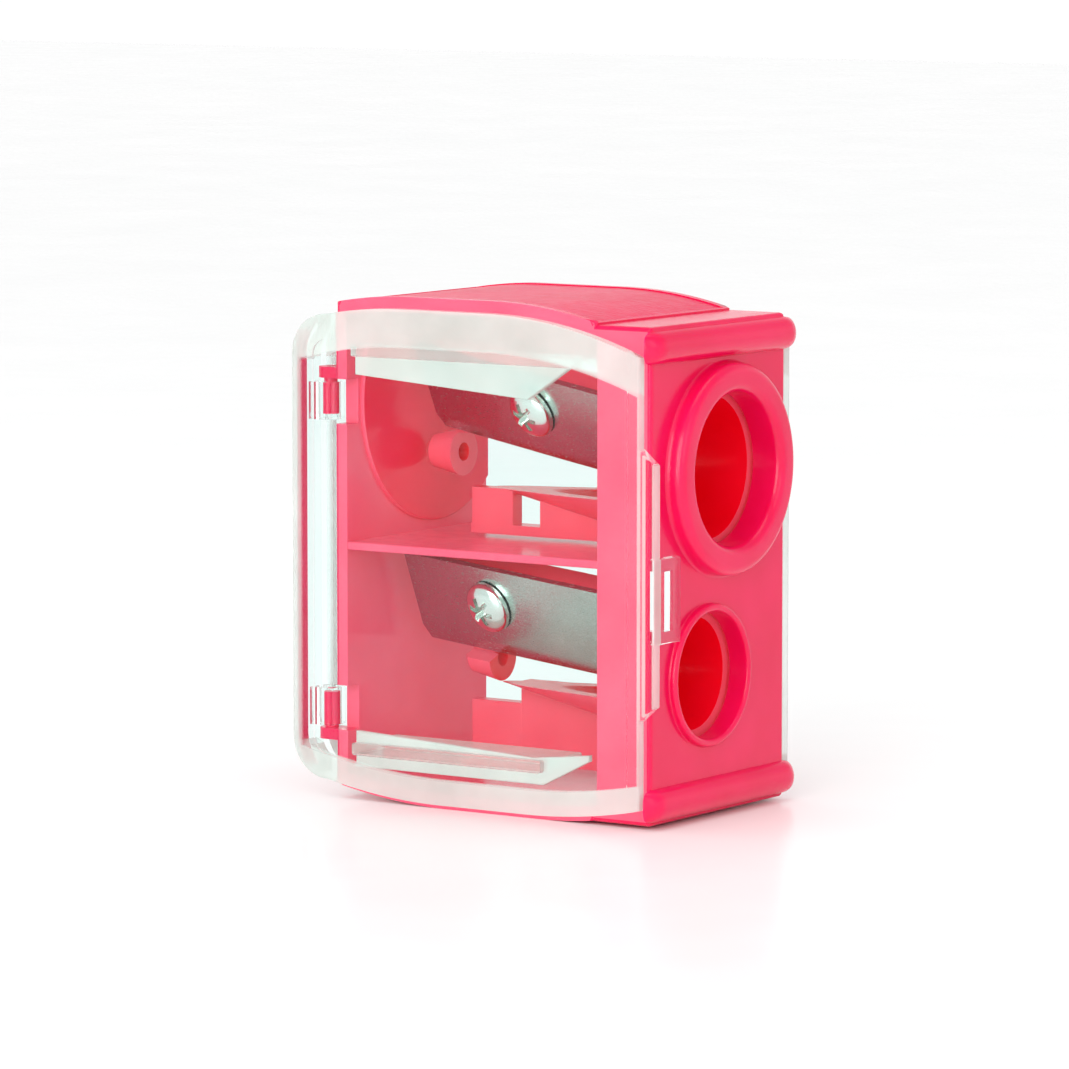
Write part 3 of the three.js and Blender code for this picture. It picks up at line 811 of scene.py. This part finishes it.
def clear_plastic(name, colours, rough, transmission, tint, border=None):
    look = Look(name)
    streaks = look.noise(220, 3.0)
    colour = look.ramp(streaks, [(0.35, colours[0]), (0.65, colours[1])])
    marks = look.noise(3000, 5.0, 0.6, (1, 1, 0.25))
    roughness = look.between(marks, rough[0], rough[1])
    if border:
        mask = frost_and_edge_highlight_mask(look)
        blend = look.node("ShaderNodeMix", data_type="RGBA")
        look.link(mask, blend.inputs[0])
        look.link(colour, blend.inputs[MIX_COLOUR_A])
        frost = look.ramp(streaks, [(0.35, border["dark"]), (0.65, border["light"])])
        look.link(frost, blend.inputs[MIX_COLOUR_B])
        colour = blend.outputs[MIX_COLOUR]
        roughness = look.maths("ADD", roughness, look.maths("MULTIPLY", mask, border["rough"]))
        clarity = look.between(mask, transmission, border["transmission"], 0, 1)
        look.link(clarity, look.shader.inputs["Transmission Weight"])
    else:
        look.set(Transmission_Weight=transmission)
    look.link(colour, look.shader.inputs["Base Color"])
    look.link(roughness, look.shader.inputs["Roughness"])
    ripple = look.noise(90, 1.5)
    look.link(look.bump(ripple, 0.04, 0.00025), look.shader.inputs["Normal"])
    look.set(IOR=1.25)
    lamp = look.node("ShaderNodeLightPath")
    through = look.node("ShaderNodeBsdfTransparent")
    through.inputs["Color"].default_value = (*tint, 1)
    mix = look.node("ShaderNodeMixShader")
    passes = look.maths("MAXIMUM", lamp.outputs["Is Shadow Ray"], lamp.outputs["Is Diffuse Ray"])
    look.link(passes, mix.inputs[0])
    look.link(look.shader.outputs[0], mix.inputs[1])
    look.link(through.outputs[0], mix.inputs[2])
    look.link(mix.outputs[0], look.output.inputs["Surface"])
    return look.material


def steel(name, base, rough, grain_per_metre, stretch, depth):
    look = Look(name)
    blotches = look.noise(160, 3.0)
    low = tuple(c * 0.9 for c in base)
    look.link(look.ramp(blotches, [(0.35, low), (0.65, base)]), look.shader.inputs["Base Color"])
    grain = look.noise(grain_per_metre, 4.0, 0.65, stretch)
    look.link(look.between(grain, rough[0], rough[1]), look.shader.inputs["Roughness"])
    look.link(look.bump(grain, 0.3, depth), look.shader.inputs["Normal"])
    look.set(Metallic=1.0)
    return look.material


PINK_BODY = pink_plastic("hot_pink_plastic", True, (0.76, 0.002, 0.07), (0.83, 0.005, 0.092), 0.05)
# Inner faces of the case: a lighter, whiter pink, painted light that brightens the walls inside the case.
PINK_INNER_PAINTED_LIGHT = pink_plastic("inner_pink_plastic_painted_light", False, (0.92, 0.085, 0.17), (0.96, 0.12, 0.21), 0.0)
PINK_CORE = pink_plastic("hot_pink_core_plastic", False, (0.86, 0.075, 0.13), (0.92, 0.11, 0.17), 0.05)
# Bores of the cores: a deeper red, painted shade inside the bores.
PINK_BORE_PAINTED_SHADE = pink_plastic("bore_plastic_painted_shade", False, (0.84, 0.0, 0.01), (0.9, 0.002, 0.02), 0.0)
# Pad on the back wall: a deeper red, painted shade behind the large core.
PINK_PAD_PAINTED_SHADE = pink_plastic("pad_plastic_painted_shade", False, (0.88, 0.0, 0.05), (0.96, 0.0, 0.065), 0.0)
# Frost colours for the border, also used for the painted highlight strips at the covers' front and back
# edges.
FROST_AND_EDGE_HIGHLIGHT = {"dark": (0.69, 0.76, 0.72), "light": (0.77, 0.835, 0.8), "rough": 0.12, "transmission": 0.58}
CLEAR = clear_plastic(
    "clear_plastic", ((0.9, 0.985, 0.97), (0.93, 0.99, 0.98)), (0.0, 0.02), 1.0,
    (0.95, 0.985, 0.975), FROST_AND_EDGE_HIGHLIGHT,
)
CLEAR_EDGE = clear_plastic(
    "frosted_clear_plastic", ((0.74, 0.79, 0.76), (0.82, 0.865, 0.835)), (0.12, 0.22), 0.5,
    (0.92, 0.96, 0.94),
)
BLADE_STEEL = steel("ground_steel", (0.52, 0.62, 0.57), (0.14, 0.3), 900, (1, 14, 14), 0.000012)
SCREW_STEEL = steel("plated_steel", (0.78, 0.83, 0.79), (0.08, 0.2), 1800, (1, 1, 1), 0.000008)


# ---------------------------------------------------------------- pieces

def place_piece(solid, name, body, node, slot, *materials, pick=None):
    solid.name = name
    solid.data.name = name
    solid.data.transform(Matrix.Scale(MM, 4))
    solid.data.materials.clear()
    for material in materials:
        solid.data.materials.append(material)
    for polygon in solid.data.polygons:
        polygon.use_smooth = True
        polygon.material_index = pick(polygon) if pick else 0
    solid.data.set_sharp_from_angle(angle=SHARP_ANGLE)
    weighted = solid.modifiers.new("even_normals", "WEIGHTED_NORMAL")
    weighted.keep_sharp = True
    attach(solid, body)
    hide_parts(node)


def body_zone(polygon):
    """1 inside the case, in a lighter pink that is painted light; 2 on the pad inside its back wall, in a
    deeper red that is painted shade; 0 outside and in the pencil holes.
    """
    centre = polygon.center / MM
    if abs(centre.x - PAD_X) < 0.05 and polygon.normal.x > 0.9:
        return 2
    lengthwise = BACK_X + MID_WALL < centre.x < FACE_X - 0.9 * WALL
    across = abs(centre.y) < BODY_HALF_WIDTH + 0.01
    upright = MID_WALL + bow(centre.x) < centre.z < crown(centre.x) - MID_WALL
    return 1 if lengthwise and across and upright else 0


def core_zone(core):
    """1 in the core's tapered bore, which is painted a deeper red as shade, 0 outside it."""
    def zone(polygon):
        x, y, z = polygon.center / MM
        from_axis = math.hypot(y - core["axis_y"], z - core["axis_z"])
        inward = polygon.normal.y * (y - core["axis_y"]) + polygon.normal.z * (z - core["axis_z"]) < 0
        return 1 if inward and from_axis < cone_radius(core, x) + 0.15 else 0
    return zone


def door_zone(polygon):
    """1 on the door's inner ribs, 0 on its pane, its rim and its latch tab."""
    centre = polygon.center / MM
    inside_case = abs(centre.y) < BODY_HALF_WIDTH + 0.8 * GAP
    return 1 if inside_case and BACK_X < centre.x < FACE_X - WALL else 0


place_piece(
    body_frame(), "sharpener_body", "body", "body_frame", "pink_body",
    PINK_BODY, PINK_INNER_PAINTED_LIGHT, PINK_PAD_PAINTED_SHADE, pick=body_zone,
)
place_piece(
    sharpener_core(LARGE), "large_core", "body", "large_sharpener_core", "pink_core",
    PINK_CORE, PINK_BORE_PAINTED_SHADE, pick=core_zone(LARGE),
)
place_piece(
    sharpener_core(SMALL), "small_core", "body", "small_sharpener_core", "pink_core",
    PINK_CORE, PINK_BORE_PAINTED_SHADE, pick=core_zone(SMALL),
)
place_piece(blade(LARGE), "large_cutting_blade", "body", "large_blade", "blade_steel", BLADE_STEEL)
place_piece(blade(SMALL), "small_cutting_blade", "body", "small_blade", "blade_steel", BLADE_STEEL)
place_piece(blade_screw(LARGE), "large_screw", "body", "large_blade_screw", "screw_steel", SCREW_STEEL)
place_piece(blade_screw(SMALL), "small_screw", "body", "small_blade_screw", "screw_steel", SCREW_STEEL)
place_piece(
    window_door(), "clear_door", "door", "window_door", "clear_cover",
    CLEAR, CLEAR_EDGE, pick=door_zone,
)
place_piece(rear_cover(), "clear_rear_cover", "body", "rear_cover", "clear_cover", CLEAR)


# ---------------------------------------------------------------- floor, light and camera

# Strengths of the white backdrop: in the picture, as light, through the clear covers and in reflections.
SHOWN = 1.02
LIGHTING = 0.85
THROUGH_CLEAR = 0.95
REFLECTED_BY_HEIGHT = {"From Min": 0.2, "From Max": 0.55, "To Min": 1.0, "To Max": 0.4}


def studio_floor():
    half = 1.5
    corners = ((-half, -half), (half, -half), (half, half), (-half, half))
    bm = bmesh.new()
    bm.faces.new([bm.verts.new((x, y, 0)) for x, y in corners])
    floor = solid_from(bm)
    floor.name = "studio_floor"
    look = Look("pale_gloss_floor")
    tone = look.noise(6, 2.0)
    colour = look.ramp(tone, [(0.3, (0.93, 0.935, 0.935)), (0.7, (0.95, 0.95, 0.95))])
    look.link(colour, look.shader.inputs["Base Color"])
    look.link(look.between(look.noise(40, 2.0), 0.2, 0.26), look.shader.inputs["Roughness"])
    look.set(Specular_IOR_Level=0.07)
    floor.data.materials.append(look.material)


def soft_light(name, at, size, watts):
    data = bpy.data.lights.new(name, "AREA")
    data.shape = "RECTANGLE"
    data.size, data.size_y = size
    data.energy = watts
    lamp = bpy.data.objects.new(name, data)
    bpy.context.scene.collection.objects.link(lamp)
    lamp.location = at
    aim = Vector((0, 0, HEIGHT * MM / 2)) - lamp.location
    lamp.rotation_euler = aim.to_track_quat("-Z", "Y").to_euler()


def even_sun(name, strength, spread):
    data = bpy.data.lights.new(name, "SUN")
    data.energy = strength
    data.angle = spread
    bpy.context.scene.collection.objects.link(bpy.data.objects.new(name, data))


def white_studio():
    """A white backdrop whose strength differs for what it shows, lights and is reflected in."""
    world = bpy.data.worlds.new("white_studio")
    world.use_nodes = True
    nodes, links = world.node_tree.nodes, world.node_tree.links
    sky = nodes["Background"]
    sky.inputs["Color"].default_value = (1, 1, 1, 1)
    rays = nodes.new("ShaderNodeLightPath")
    direction = nodes.new("ShaderNodeTexCoord")
    split = nodes.new("ShaderNodeSeparateXYZ")
    links.new(direction.outputs["Generated"], split.inputs["Vector"])
    reflected = nodes.new("ShaderNodeMapRange")
    for key, value in REFLECTED_BY_HEIGHT.items():
        reflected.inputs[key].default_value = value
    links.new(split.outputs["Z"], reflected.inputs["Value"])
    strength = None
    for output, value in (
        ("Is Diffuse Ray", LIGHTING), ("Is Glossy Ray", reflected), ("Is Transmission Ray", THROUGH_CLEAR),
    ):
        choice = nodes.new("ShaderNodeMix")
        otherwise, chosen = choice.inputs[2], choice.inputs[3]
        otherwise.default_value = SHOWN
        if value is reflected:
            links.new(reflected.outputs[0], chosen)
        else:
            chosen.default_value = value
        links.new(rays.outputs[output], choice.inputs[0])
        if strength:
            links.new(strength, otherwise)
        strength = choice.outputs[0]
    links.new(strength, sky.inputs["Strength"])
    bpy.context.scene.world = world


studio_floor()
white_studio()
even_sun("overhead_sun", 0.6, math.radians(50))
soft_light("front_softbox", (0.42, -0.2, 0.22), (0.25, 0.3), 0.2)
soft_light("window_softbox", (0.08, -0.45, 0.16), (0.35, 0.35), 1.3)

AZIMUTH = math.radians(34.2)
ELEVATION = math.radians(6.3)
DISTANCE = 0.5
PIXELS_PER_MM = 12.5
FRAME_PIXELS = 1069
SENSOR = 36.0
TARGET = Vector((0, 0, 0.0202))
SIDE_STEP = -0.00124
LIFT = 0.00106


def photo_camera():
    """The camera that the photo was matched with."""
    ca, sa = math.cos(AZIMUTH), math.sin(AZIMUTH)
    ce, se = math.cos(ELEVATION), math.sin(ELEVATION)
    right = Vector((ca, sa, 0))
    back = Vector((sa * ce, -ca * ce, se))
    up = Vector((-sa * se, ca * se, ce))
    data = bpy.data.cameras.new("camera")
    data.sensor_width = SENSOR
    data.lens = PIXELS_PER_MM * DISTANCE / MM * SENSOR / FRAME_PIXELS
    data.clip_start = 0.01
    data.clip_end = 20
    camera = bpy.data.objects.new("camera", data)
    bpy.context.scene.collection.objects.link(camera)
    turn = Matrix((right, up, back)).transposed().to_4x4()
    at = TARGET + right * SIDE_STEP + up * LIFT + back * DISTANCE
    camera.matrix_world = Matrix.Translation(at) @ turn
    bpy.context.scene.camera = camera


photo_camera()

scene = bpy.context.scene
scene.view_settings.view_transform = "Standard"
scene.cycles.max_bounces = 24
scene.cycles.glossy_bounces = 16
scene.cycles.diffuse_bounces = 6
scene.cycles.transmission_bounces = 16
scene.cycles.transparent_max_bounces = 24
